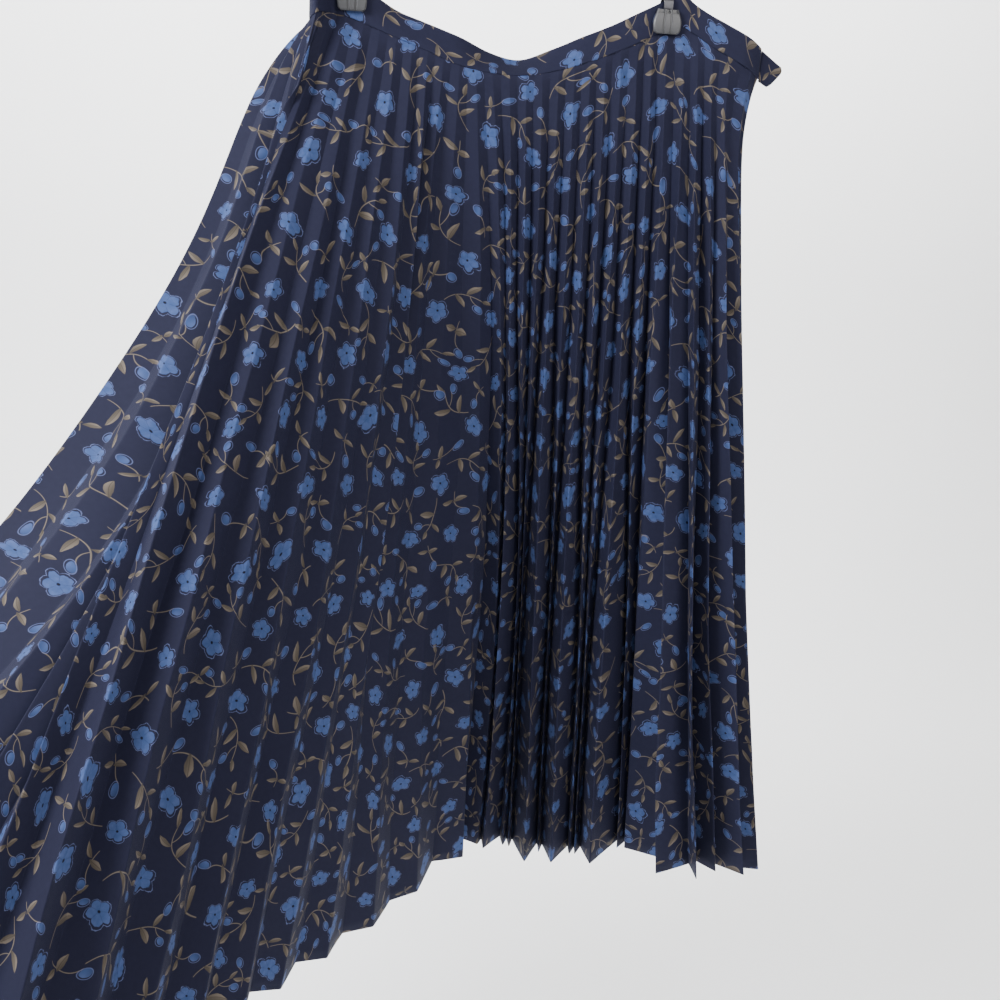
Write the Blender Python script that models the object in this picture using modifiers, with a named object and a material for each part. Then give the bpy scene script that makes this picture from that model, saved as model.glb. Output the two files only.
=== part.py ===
"""Pleated maxi skirt held by a clip hanger: 64 sunray pleats, waistband, underlap and hanger.

Metres, +Z up, X to the right, front towards -Y. The origin is where the hook rests on its rail.
"""

import math

import bmesh
import bpy
import numpy as np

DROP = 0.140                # from the hook's rest to the lower edge of the clips
CLOTH = 0.0012              # wall of the pleated cloth
BAND_WALL = 0.0020          # wall of the waistband, cloth and interlining
BAND_HEIGHT = 0.028
SEAM_GAP = 0.0003
SIDE_SEAM = 0.0004          # each half's edge, back from the side seam
TOP_CLEAR = 0.0010          # cloth below the band's lower edge, so that the leaning rims stay apart
PLEATS = 64                 # all round: 32 front, 32 back
RINGS = 18
PANEL_TOP = 0.008           # width of one pleat face at the waist
PANEL_HEM = 0.043           # and at the hem
DEEPEST = 0.034             # most height from valley to ridge
SHALLOW = 0.40              # least height, as a part of the face width
SPREAD = 0.7                # pleats on each side that settle which way a ridge points
CLIP_X = 0.1525

# Waist seam, front half, one row a guide pleat: pleat, x, y, z below the clips' edge, band lean in degrees.
WAIST = (
    (0, -0.1905, 0.0000, -0.0110, 0),
    (1, -0.1912, -0.0110, -0.0105, 0),
    (2, -0.1895, -0.0200, -0.0090, 0),
    (3, -0.1862, -0.0250, -0.0065, 0),
    (4, -0.1825, -0.0232, -0.0045, 0),
    (4.5, -0.1790, -0.0190, -0.0040, 0),
    (5, -0.1740, -0.0100, -0.0035, 0),
    (5.5, -0.1690, -0.0046, -0.0035, 0),
    (6, -0.1620, -0.0040, -0.0040, 0),
    (7, -0.1450, -0.0040, -0.0085, 0),
    (7.6, -0.1360, -0.0042, -0.0118, 0),
    (9, -0.1140, -0.0080, -0.0200, 24),
    (11, -0.0840, -0.0100, -0.0300, 26),
    (13, -0.0530, -0.0100, -0.0410, 20),
    (15, -0.0210, -0.0100, -0.0470, 44),
    (17, 0.0120, -0.0100, -0.0480, 56),
    (19, 0.0440, -0.0100, -0.0420, 40),
    (21, 0.0750, -0.0100, -0.0320, 24),
    (23, 0.1050, -0.0080, -0.0200, 16),
    (25, 0.1370, -0.0046, -0.0045, 0),
    (26, 0.1500, -0.0040, 0.0020, 0),
    (27, 0.1670, -0.0042, 0.0080, 0),
    (28, 0.1810, -0.0085, 0.0010, 12),
    (29, 0.1960, -0.0125, -0.0080, 10),
    (30, 0.2130, -0.0140, -0.0160, 6),
    (31, 0.2375, -0.0120, -0.0270, 0),
    (32, 0.2530, 0.0000, -0.0350, 0),
)

# Hem and bow of the guide pleats, front 0 to 32 and back 32 to 64:
# pleat, hem x, y, z, how far the line between bows from a straight one in x, y, z, and its flare in x
# just under the waist.
HEM = (
    (0, -0.684, -0.307, -0.707, 0.033, 0.050, -0.040, -0.019),
    (0.6, -0.660, -0.350, -0.696, 0.039, 0.052, -0.046, -0.018),
    (1.25, -0.620, -0.400, -0.690, 0.048, 0.055, -0.055, -0.014),
    (2.25, -0.550, -0.460, -0.680, 0.057, 0.060, -0.065, -0.008),
    (3.4, -0.485, -0.485, -0.715, 0.028, 0.056, -0.045, 0.000),
    (4.6, -0.419, -0.497, -0.754, -0.009, 0.034, -0.012, 0.000),
    (6.6, -0.339, -0.422, -0.816, 0.000, 0.006, 0.000, 0.000),
    (8.6, -0.268, -0.324, -0.879, 0.006, 0.000, 0.000, 0.000),
    (10.6, -0.200, -0.205, -0.925, 0.016, 0.000, 0.000, 0.000),
    (12.6, -0.100, -0.063, -0.963, -0.010, 0.000, 0.000, 0.000),
    (14.6, 0.000, 0.060, -0.964, 0.018, 0.000, 0.000, 0.000),
    (16.7, 0.035, 0.055, -0.965, 0.010, 0.000, 0.000, 0.000),
    (18.8, 0.070, 0.035, -0.960, 0.000, 0.000, 0.000, 0.000),
    (21, 0.102, 0.014, -0.951, 0.000, 0.000, 0.000, 0.000),
    (23, 0.132, -0.007, -0.939, 0.000, 0.000, 0.000, 0.000),
    (26, 0.185, -0.047, -0.917, 0.000, 0.000, 0.000, 0.000),
    (28, 0.253, -0.080, -0.912, -0.004, 0.000, 0.000, 0.000),
    (30, 0.312, -0.060, -0.927, -0.008, 0.000, 0.000, -0.004),
    (31, 0.338, -0.040, -0.940, -0.012, 0.000, 0.000, -0.010),
    (32, 0.353, -0.006, -0.946, -0.016, 0.000, 0.000, -0.011),
    (33, 0.350, 0.028, -0.946, -0.016, 0.000, 0.000, -0.011),
    (34, 0.334, 0.052, -0.948, -0.012, 0.004, 0.000, -0.008),
    (36, 0.300, 0.070, -0.950, -0.004, 0.008, 0.000, -0.002),
    (38, 0.262, 0.080, -0.952, 0.000, 0.010, 0.000, 0.000),
    (42, 0.190, 0.096, -0.956, 0.000, 0.012, 0.000, 0.000),
    (46, 0.118, 0.112, -0.960, 0.000, 0.014, 0.000, 0.000),
    (50, 0.046, 0.126, -0.963, 0.000, 0.014, 0.000, 0.000),
    (53, -0.014, 0.130, -0.962, 0.000, 0.014, 0.000, 0.000),
    (55, -0.170, 0.106, -0.950, 0.020, 0.012, 0.000, 0.000),
    (57, -0.325, 0.058, -0.922, 0.030, 0.010, 0.000, 0.000),
    (59, -0.475, -0.008, -0.872, 0.038, 0.010, 0.000, 0.000),
    (61, -0.596, -0.098, -0.800, 0.040, 0.020, -0.010, -0.004),
    (63, -0.672, -0.240, -0.728, 0.036, 0.042, -0.030, -0.014),
    (64, -0.684, -0.307, -0.707, 0.033, 0.050, -0.040, -0.019),
)
FLARE_REACH = 0.09          # part of the length where the flare is most

# Folds deeper than a pleat: pleat, half width in pleats, depth inwards, where it starts, where it is deepest.
FOLDS = (
    (25.6, 0.80, 0.020, 0.06, 0.70),
    (29.2, 0.70, 0.018, 0.10, 0.80),
    (37.4, 0.70, 0.016, 0.15, 0.90),
    (41.8, 0.60, 0.012, 0.35, 1.00),
    (45.3, 0.80, 0.017, 0.20, 0.85),
    (49.7, 0.60, 0.012, 0.40, 1.00),
    (56.2, 0.70, 0.012, 0.25, 0.80),
)

# Pleats drawn together behind their neighbours: pleat in the middle, pleats on each side that are drawn in, how
# far back their ridges go, where it starts, where it is most.
GATHERS = (
    (17.75, 1.05, 0.024, 0.18, 0.70),
    (20.25, 0.55, 0.022, 0.18, 0.70),
    (22.75, 1.05, 0.024, 0.25, 0.75),
    (25.50, 0.80, 0.024, 0.30, 0.80),
)
# Ridges that lean sideways: pleat, half width in pleats, sideways part, where it starts, where it is most.
LEANING = (
    (20.0, 5.5, 0.40, 0.35, 1.10),
    (27.2, 1.0, -0.45, 0.05, 0.45),
)

# Pleats pressed flatter where the cloth turns a corner: pleat, half width in pleats, then the part of the
# height lost at the waist and the part lost lower down.
PRESSED = (
    (2.90, 1.10, 0.55, 0.35),
    (4.25, 0.80, 0.35, 0.35),
    (15.75, 0.85, 0.00, 0.62),
    (51.10, 0.90, 0.00, 0.40),
    (61.00, 1.40, 0.55, 0.10),
)


def clear_scene():
    for obj in list(bpy.data.objects):
        bpy.data.objects.remove(obj, do_unlink=True)


def material(name, colour, roughness, metallic=0.0):
    made = bpy.data.materials.new(name)
    made.use_nodes = True
    shader = made.node_tree.nodes["Principled BSDF"]
    shader.inputs["Base Color"].default_value = (*colour, 1.0)
    shader.inputs["Roughness"].default_value = roughness
    shader.inputs["Metallic"].default_value = metallic
    return made


def smooth_step(value):
    t = np.clip(value, 0.0, 1.0)
    return t * t * (3.0 - 2.0 * t)


def curve_through(keys, values, at):
    """Smooth curve through the rows of a table, with three-point slopes, read at each place of at."""
    keys = np.asarray(keys, float)
    values = np.asarray(values, float)
    steps = np.diff(keys)
    rise = np.diff(values, axis=0) / steps[:, None]
    slope = np.zeros_like(values)
    slope[0] = rise[0]
    slope[-1] = rise[-1]
    before = steps[:-1, None]
    after = steps[1:, None]
    slope[1:-1] = (rise[:-1] * after + rise[1:] * before) / (before + after)
    place = np.clip(np.searchsorted(keys, at, side="right") - 1, 0, len(steps) - 1)
    span = steps[place]
    t = ((at - keys[place]) / span)[:, None]
    span = span[:, None]
    start = values[place]
    end = values[place + 1]
    return (
        (2 * t**3 - 3 * t**2 + 1) * start
        + (t**3 - 2 * t**2 + t) * span * slope[place]
        + (3 * t**2 - 2 * t**3) * end
        + (t**3 - t**2) * span * slope[place + 1]
    )


def ring_table():
    """The waist rows all round: the back half mirrors the front one."""
    front = [list(row) for row in WAIST]
    back = [[PLEATS - row[0], row[1], -row[2], row[3], row[4]] for row in WAIST[-2::-1]]
    rows = np.array(front + back)
    lead = rows[-4:-1].copy()
    lead[:, 0] -= PLEATS
    tail = rows[1:4].copy()
    tail[:, 0] += PLEATS
    return np.vstack([lead, rows, tail])


def hem_table():
    rows = np.array(HEM)
    lead = rows[-4:-1].copy()
    lead[:, 0] -= PLEATS
    tail = rows[1:4].copy()
    tail[:, 0] += PLEATS
    return np.vstack([lead, rows, tail])


RING = ring_table()
GUIDES = hem_table()


def waist_at(pleat):
    return curve_through(RING[:, 0], RING[:, 1:4], pleat)


def lean_at(pleat):
    turn = curve_through(RING[:, 0], RING[:, 4:5], pleat)[:, 0]
    return np.radians(np.maximum(turn, 0.0))


def carrier(pleat, down):
    """Middle of the pleating, before its ridges, at pleat numbers and parts of the length, (n, 3)."""
    guide = curve_through(GUIDES[:, 0], GUIDES[:, 1:], pleat)
    top = waist_at(pleat)
    part = down[:, None]
    line = top + (guide[:, :3] - top) * part + guide[:, 3:6] * (4.0 * part * (1.0 - part))
    line[:, 0] += guide[:, 6] * down / FLARE_REACH * np.exp(1.0 - down / FLARE_REACH)
    return line


def outward(pleat, down):
    """Unit vector out of the cloth and the pitch of the pleats there."""
    across = (carrier(pleat + SPREAD, down) - carrier(pleat - SPREAD, down)) / (2 * SPREAD)
    fall = carrier(pleat, np.minimum(down + 0.02, 1.0)) - carrier(pleat, np.maximum(down - 0.02, 0.0))
    out = np.cross(fall, across)
    out[:, 2] *= smooth_step(down / 0.08)
    out /= np.linalg.norm(out, axis=1)[:, None]
    pitch = np.linalg.norm(across, axis=1)
    lean = np.zeros_like(pitch)
    for centre, half, sideways, start, full in LEANING:
        lean += sideways * np.exp(-(((pleat - centre) / half) ** 4)) * smooth_step((down - start) / (full - start))
    out += across * (lean / pitch)[:, None]
    out /= np.linalg.norm(out, axis=1)[:, None]
    return out, pitch


def fold_depth(pleat, down):
    depth = np.zeros_like(pleat)
    for centre, half, deep, start, full in FOLDS:
        grown = smooth_step((down - start) / (full - start))
        depth += deep * grown * np.exp(-(((pleat - centre) / half) ** 2))
    return depth


def pressing(pleat, down):
    kept = np.ones_like(pleat)
    low = smooth_step(down / 0.3)
    for centre, half, top_lost, low_lost in PRESSED:
        near = np.exp(-(((pleat - centre) / half) ** 2))
        kept -= (top_lost * (1.0 - low) + low_lost * low) * near
    return kept


def unevenness(pleat, down):
    """Ridges aren't pressed alike: a part of the height, by pleat and along it."""
    wave = 0.07 * np.sin(2.3 * pleat + 0.8) + 0.05 * np.sin(5.1 * pleat + 3.0 * down)
    return 1.0 + wave * smooth_step(down / 0.3)


def gathered(pleat, down):
    """Pleat numbers drawn towards the middle of each gather, and how far back their ridges are drawn."""
    spot = pleat.copy()
    back = np.zeros_like(pleat)
    for centre, reach, deep, start, full in GATHERS:
        grown = smooth_step((down - start) / (full - start))
        near = smooth_step((reach + 0.4 - abs(pleat - centre)) / 0.4)
        spot += (centre - pleat) * 0.6 * grown * near
        back += deep * grown * near
    return spot, back


def cloth_points(pleat, side, down):
    """Points of the pleated cloth: side is 1 on a ridge, -1 in a valley and 0 between."""
    pleat, back = gathered(pleat, down)
    base = carrier(pleat, down)
    out, pitch = outward(pleat, down)
    face = PANEL_TOP + (PANEL_HEM - PANEL_TOP) * down
    height = np.sqrt(np.maximum(face**2 - (pitch / 2) ** 2, (SHALLOW * face) ** 2))
    most = np.minimum(DEEPEST, face * (SHALLOW + 0.55 * smooth_step(down / 0.15)))
    height = np.minimum(height, most) * unevenness(pleat, down) * pressing(pleat, down)
    move = side * height / 2 - fold_depth(pleat, down) - back * (0.7 + 0.3 * side)
    return base + out * move[:, None]


def finish(mesh_object, surface):
    mesh_object.data.materials.append(surface)
    OBJECTS.objects.link(mesh_object)
    return mesh_object


def grid_object(name, points, surface, wall):
    """An open sheet from rows of points, thickened by Solidify."""
    rows, columns = points.shape[:2]
    faces = []
    for row in range(rows - 1):
        for column in range(columns - 1):
            first = row * columns + column
            faces.append((first, first + columns, first + columns + 1, first + 1))
    mesh = bpy.data.meshes.new(name)
    mesh.from_pydata(points.reshape(-1, 3).tolist(), [], faces)
    mesh.update()
    made = bpy.data.objects.new(name, mesh)
    thick = made.modifiers.new("wall", "SOLIDIFY")
    thick.thickness = wall
    thick.offset = 0.0
    thick.use_even_offset = True
    thick.thickness_clamp = 1.0
    thick.use_thickness_angle_clamp = True
    return finish(made, surface)


def skirt_half(name, first, surface):
    """Half of the pleated cloth, from pleat number first to first + 32."""
    half = PLEATS // 2
    pleats = [float(first)]
    sides = [0.0]
    for number in range(half):
        pleats += [first + number + 0.25, first + number + 0.75]
        sides += [1.0, -1.0]
    pleats.append(float(first + half))
    sides.append(0.0)
    sides = np.array(sides)
    rows = []
    for down in np.linspace(0.0, 1.0, RINGS):
        row = cloth_points(np.array(pleats), sides, np.full(len(pleats), down))
        for end, inner in ((0, 1), (-1, -2)):
            inward = row[inner] - row[end]
            row[end] += inward / np.linalg.norm(inward) * SIDE_SEAM
        rows.append(row)
    points = np.array(rows)
    fall = points[1] - points[0]
    fall /= np.linalg.norm(fall, axis=1)[:, None]
    drop = TOP_CLEAR * (1.0 + np.hypot(fall[:, 0], fall[:, 1])) / -fall[:, 2]
    points[0] += fall * drop[:, None]
    points[:, :, 2] -= DROP
    return grid_object(name, points, surface, CLOTH)


def band_points(pleat, up):
    """Points of the waistband, up measured along its height from the seam."""
    base = waist_at(pleat)
    lean = lean_at(pleat)
    start = (SEAM_GAP + BAND_WALL / 2 * np.sin(lean)) / np.cos(lean)
    rise = start + up
    lift = np.stack([np.zeros_like(lean), np.sin(lean), np.cos(lean)], axis=1)
    return base + lift * rise[:, None]


def band_half(name, first, surface):
    half = PLEATS // 2
    inner = np.linspace(first + 0.5, first + half - 0.5, 2 * half - 1)
    ends = np.array([first + 0.04, first + 0.14, first + half - 0.14, first + half - 0.04])
    pleats = np.sort(np.concatenate([inner, ends]))
    rows = []
    for up in np.linspace(0.0, BAND_HEIGHT, 4)[::-1]:
        rows.append(band_points(pleats, np.full(len(pleats), up)))
    points = np.array(rows)
    points[:, :, 2] -= DROP
    return grid_object(name, points, surface, BAND_WALL)


# Corners of the underlap past the right side seam: x, y, z.
TAB = {
    "low_in": (0.2544, 0.0004, -0.0366),
    "low_out": (0.2665, 0.0020, -0.0425),
    "high_in": (0.2545, 0.0004, -0.0080),
    "high_out": (0.2835, 0.0030, -0.0255),
}


def tab_object(name, surface):
    """The underlap: a short end of band past the right side seam, drooping and twisted."""
    corner = {key: np.array(place) for key, place in TAB.items()}
    rows = []
    for up in (1.0, 0.5, 0.0):
        start = corner["low_in"] * (1 - up) + corner["high_in"] * up
        end = corner["low_out"] * (1 - up) + corner["high_out"] * up
        rows.append([start * (1 - run) + end * run for run in (0.0, 0.5, 1.0)])
    points = np.array(rows)
    points[:, :, 2] -= DROP
    return grid_object(name, points, surface, BAND_WALL)


def cylinder(name, radius, start, end, surface, sides=24):
    run = bmesh.new()
    bmesh.ops.create_cone(
        run, cap_ends=True, segments=sides, radius1=radius, radius2=radius, depth=end - start
    )
    mesh = bpy.data.meshes.new(name)
    run.to_mesh(mesh)
    run.free()
    made = bpy.data.objects.new(name, mesh)
    made.rotation_euler = (0.0, math.pi / 2, 0.0)
    made.location = ((start + end) / 2, 0.0, BAR_Z)
    return finish(made, surface)


BAR_RADIUS = 0.0025
BAR_Z = 0.0440 - DROP
WIRE_RADIUS = 0.0018
LOOP_RADIUS = 0.0200
STRAP_WALL = 0.0010
STRAP_FOOT = 0.0046         # half widths of the spring on the jaws and round the bar
STRAP_TOP = 0.0036


def hook_object(name, surface):
    """Steel wire from the bar up and round the rail, as one bevelled curve."""
    rest = WIRE_RADIUS
    centre = rest - LOOP_RADIUS
    foot = BAR_Z + BAR_RADIUS + SEAM_GAP
    points = [(0.0, 0.0, foot), (0.0, 0.0, foot + 0.018), (-0.004, 0.0, foot + 0.028)]
    points.append((-0.013, 0.0, centre - 0.016))
    for turn in range(-35, 206, 20):
        angle = math.radians(180 - turn)
        points.append((LOOP_RADIUS * math.cos(angle), 0.0, centre + LOOP_RADIUS * math.sin(angle)))
    curve = bpy.data.curves.new(name, "CURVE")
    curve.dimensions = "3D"
    curve.bevel_depth = WIRE_RADIUS
    curve.bevel_resolution = 2
    curve.use_fill_caps = True
    line = curve.splines.new("POLY")
    line.points.add(len(points) - 1)
    for point, place in zip(line.points, points):
        point.co = (*place, 1.0)
    made = bpy.data.objects.new(name, curve)
    return finish(made, surface)


# Clip jaw, from its lower edge up: height, half width, its face and its inside, out from the middle, and
# the part of the slots' depth that is reached there.
JAW = (
    (0.0000, 0.0105, 0.0096, 0.0078, 0.0),
    (0.0012, 0.0124, 0.0106, 0.0076, 0.0),
    (0.0035, 0.0134, 0.0110, 0.0074, 0.0),
    (0.0080, 0.0139, 0.0110, 0.0072, 0.0),
    (0.0110, 0.0138, 0.0110, 0.0072, 0.0),
    (0.0130, 0.0134, 0.0109, 0.0058, 0.0),
    (0.0182, 0.0116, 0.0105, 0.0058, 0.0),
    (0.0187, 0.0114, 0.0105, 0.0058, 1.0),
    (0.0224, 0.0102, 0.0100, 0.0058, 1.0),
)
# Across the jaw: parts of its half width, how deep the two grooves go there, and the three slots at the top.
GROOVES = (
    (-1.00, 0.0010, 0.0), (-0.90, 0.0, 0.0), (-0.86, 0.0, 0.0028), (-0.40, 0.0, 0.0028), (-0.36, 0.0, 0.0),
    (-0.32, 0.0009, 0.0), (-0.21, 0.0009, 0.0), (-0.18, 0.0, 0.0), (-0.14, 0.0, 0.0028),
    (0.14, 0.0, 0.0028), (0.18, 0.0, 0.0), (0.21, 0.0009, 0.0), (0.32, 0.0009, 0.0), (0.36, 0.0, 0.0),
    (0.40, 0.0, 0.0028), (0.86, 0.0, 0.0028), (0.90, 0.0, 0.0), (1.00, 0.0010, 0.0),
)


def jaw_object(name, x, way, surface):
    """One jaw of a clip: way is -1 in front of the band and 1 behind it."""
    rows = len(JAW)
    columns = len(GROOVES)
    points = []
    for height, half, depth, _, reached in JAW:
        for part, groove, slot in GROOVES:
            face = depth - groove - slot * reached
            points.append((x + part * half, way * face, height - DROP))
    for height, half, _, inside, _ in JAW:
        for part, _, _ in GROOVES:
            points.append((x + part * half, way * inside, height - DROP))
    faces = []
    layer = rows * columns
    for row in range(rows - 1):
        for column in range(columns - 1):
            a = row * columns + column
            faces.append((a, a + 1, a + 1 + columns, a + columns))
            faces.append((layer + a, layer + a + columns, layer + a + columns + 1, layer + a + 1))
    for column in range(columns - 1):
        low = column
        high = (rows - 1) * columns + column
        faces.append((low, layer + low, layer + low + 1, low + 1))
        faces.append((high, high + 1, layer + high + 1, layer + high))
    for row in range(rows - 1):
        left = row * columns
        right = left + columns - 1
        faces.append((left, left + columns, layer + left + columns, layer + left))
        faces.append((right, layer + right, layer + right + columns, right + columns))
    if way > 0:
        faces = [face[::-1] for face in faces]
    mesh = bpy.data.meshes.new(name)
    mesh.from_pydata(points, [], faces)
    mesh.update()
    return finish(bpy.data.objects.new(name, mesh), surface)


def strap_object(name, x, surface):
    """Narrow steel spring from one jaw up round the bar and down to the other, thickened from a bent sheet."""
    foot = JAW[-1][0] + SEAM_GAP
    leg = (JAW[-1][2] + JAW[-1][3]) / 2
    bend = BAR_RADIUS + STRAP_WALL / 2 + 0.0004
    over = BAR_Z + DROP
    side = [(leg, foot), (leg, foot + 0.0060), (leg * 0.93, foot + 0.0080), (bend * 1.10, over - 0.0065), (bend, over - 0.0040)]
    arc = []
    for turn in range(0, 181, 20):
        angle = math.radians(turn)
        arc.append((-bend * math.cos(angle), over + bend * math.sin(angle)))
    profile = [(-y, z) for y, z in side] + arc + side[::-1]
    rows = []
    for y, z in profile:
        half = STRAP_FOOT if z < over - 0.010 else STRAP_TOP
        rows.append([(x + part * half, y, z - DROP) for part in (-1.0, 0.0, 1.0)])
    return grid_object(name, np.array(rows), surface, STRAP_WALL)


def main():
    navy = material("printed_crepe", (0.030, 0.033, 0.085), 0.75)
    navy_back = material("printed_crepe_back", (0.030, 0.033, 0.085), 0.75)
    band = material("band_cloth", (0.030, 0.033, 0.085), 0.75)
    steel = material("bright_steel", (0.62, 0.62, 0.64), 0.25, 1.0)
    plastic = material("grey_plastic", (0.13, 0.13, 0.135), 0.40)
    dark = material("dark_steel", (0.06, 0.06, 0.065), 0.35, 1.0)
    skirt_half("skirt_front", 0, navy)
    skirt_half("skirt_back", PLEATS // 2, navy_back)
    band_half("waistband_front", 0, band)
    band_half("waistband_back", PLEATS // 2, band)
    tab_object("waistband_tab", band)
    cylinder("hanger_bar", BAR_RADIUS, -0.190, 0.190, steel)
    hook_object("hanger_hook", steel)
    for side, x in (("left", -CLIP_X), ("right", CLIP_X)):
        jaw_object("clip_" + side + "_front", x, -1, plastic)
        jaw_object("clip_" + side + "_back", x, 1, plastic)
        strap_object("clip_" + side + "_strap", x, dark)


clear_scene()
OBJECTS = bpy.data.collections.new("pleated_maxi_skirt")
bpy.context.scene.collection.children.link(OBJECTS)
main()
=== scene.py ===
"""Pleated maxi skirt on a clip hanger: cloth, waistband, hanger finishes and studio."""

import math

import bmesh
import bpy
import numpy as np
from mathutils import Matrix, Vector


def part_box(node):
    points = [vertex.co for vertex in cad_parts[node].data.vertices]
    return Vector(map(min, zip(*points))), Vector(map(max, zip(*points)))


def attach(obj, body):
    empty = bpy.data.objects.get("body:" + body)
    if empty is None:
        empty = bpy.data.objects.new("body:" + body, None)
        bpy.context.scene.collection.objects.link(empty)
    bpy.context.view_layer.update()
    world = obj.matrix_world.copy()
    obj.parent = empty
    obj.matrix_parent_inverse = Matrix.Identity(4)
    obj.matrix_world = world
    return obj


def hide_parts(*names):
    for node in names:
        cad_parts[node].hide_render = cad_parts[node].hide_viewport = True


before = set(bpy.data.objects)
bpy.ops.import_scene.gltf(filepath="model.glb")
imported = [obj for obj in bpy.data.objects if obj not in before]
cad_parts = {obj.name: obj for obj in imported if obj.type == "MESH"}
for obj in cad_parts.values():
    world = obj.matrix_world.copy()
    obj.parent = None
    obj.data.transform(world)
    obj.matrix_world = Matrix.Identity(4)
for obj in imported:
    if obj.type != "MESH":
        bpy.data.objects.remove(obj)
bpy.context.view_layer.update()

bl_info = {
    "name": "Pleated maxi skirt",
    "version": (1, 0, 0),
    "blender": (4, 5, 0),
    "location": "View3D > Sidebar > Skirt",
    "description": "Dresses a printed sunray-pleated skirt hung from a clip hanger",
    "category": "Object",
}

DROP = 0.140                # from the hook's rest to the lower edge of the clips
BAND_WALL = 0.0020
BAND_HEIGHT = 0.028
SEAM_GAP = 0.0003
PLEATS = 64                 # all round: 32 front, 32 back
HALF = PLEATS // 2
PANEL_TOP = 0.008           # width of one pleat face at the waist
PANEL_HEM = 0.043           # and at the hem
DEEPEST = 0.034             # most height from valley to ridge
SHALLOW = 0.40              # least height, as a part of the face width
SPREAD = 0.7                # pleats on each side that settle which way a ridge points
FLARE_REACH = 0.09
SIDE_SEAM = 0.0002
KNIFE = 0.07                # how far a ridge leans towards one side, in pleats
STRAIGHT_MIDDLE = 20.0      # round this pleat the ridges have no such lean
STRAIGHT_HALF = 5.5
TUCK = 0.006                # cloth that runs up inside the band
TUCK_INSET = 0.0020         # how far it stands back from the waist seam there
CLOTH_INSET = 0.0006        # how far the visible cloth stands back from the middle of its solid
BELLY = 0.0004              # how far a pleat face bellies out of flat
GATHER_EDGE = 0.4           # pleats over which a gather fades out
GATHER_PULL = 0.6           # part of the way that a gathered pleat comes to the middle
RING_CROWDING = 1.12        # above 1, rings stand closer together towards the waist
CUT_RADIUS = 0.2125         # the panels' cut: a ring sector, from the waist edge out to the hem
CUT_LENGTH = 0.930
CUT_ANGLE = 2.41
BAND_END = 0.04             # pleats between the end of a band and the side seam
SHEET_WALL = 0.8            # the visible bands' thickness, as a part of BAND_WALL
TAB_CUT = (0.024, 0.028)    # the underlap that shows, width and height
TAB_REACH = 0.93            # part of its length at the middle of its height
TAB_ROUNDING = 0.14         # part of it lost at the corners
THREAD = 0.55               # millimetres from thread to thread of the weave
FLOWER_REACH = 9.9          # millimetres from a flower's middle to the tip of a petal
FLOWER_PETALS = 5
FLOWER_NOTCH = 0.30         # part of the reach lost between two petals

# Waist seam, front half: pleat, x, y, z below the clips' edge, band lean in degrees.
WAIST = (
    (0, -0.1905, 0.0000, -0.0110, 0),
    (1, -0.1912, -0.0110, -0.0105, 0),
    (2, -0.1895, -0.0200, -0.0090, 0),
    (3, -0.1862, -0.0250, -0.0065, 0),
    (4, -0.1825, -0.0232, -0.0045, 0),
    (4.5, -0.1790, -0.0190, -0.0040, 0),
    (5, -0.1740, -0.0100, -0.0035, 0),
    (5.5, -0.1690, -0.0046, -0.0035, 0),
    (6, -0.1620, -0.0040, -0.0040, 0),
    (7, -0.1450, -0.0040, -0.0085, 0),
    (7.6, -0.1360, -0.0042, -0.0118, 0),
    (9, -0.1140, -0.0080, -0.0200, 24),
    (11, -0.0840, -0.0100, -0.0300, 26),
    (13, -0.0530, -0.0100, -0.0410, 20),
    (15, -0.0210, -0.0100, -0.0470, 44),
    (17, 0.0120, -0.0100, -0.0480, 56),
    (19, 0.0440, -0.0100, -0.0420, 40),
    (21, 0.0750, -0.0100, -0.0320, 24),
    (23, 0.1050, -0.0080, -0.0200, 16),
    (25, 0.1370, -0.0046, -0.0045, 0),
    (26, 0.1500, -0.0040, 0.0020, 0),
    (27, 0.1670, -0.0042, 0.0080, 0),
    (28, 0.1810, -0.0085, 0.0010, 12),
    (29, 0.1960, -0.0125, -0.0080, 10),
    (30, 0.2130, -0.0140, -0.0160, 6),
    (31, 0.2375, -0.0120, -0.0270, 0),
    (32, 0.2530, 0.0000, -0.0350, 0),
)
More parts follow.
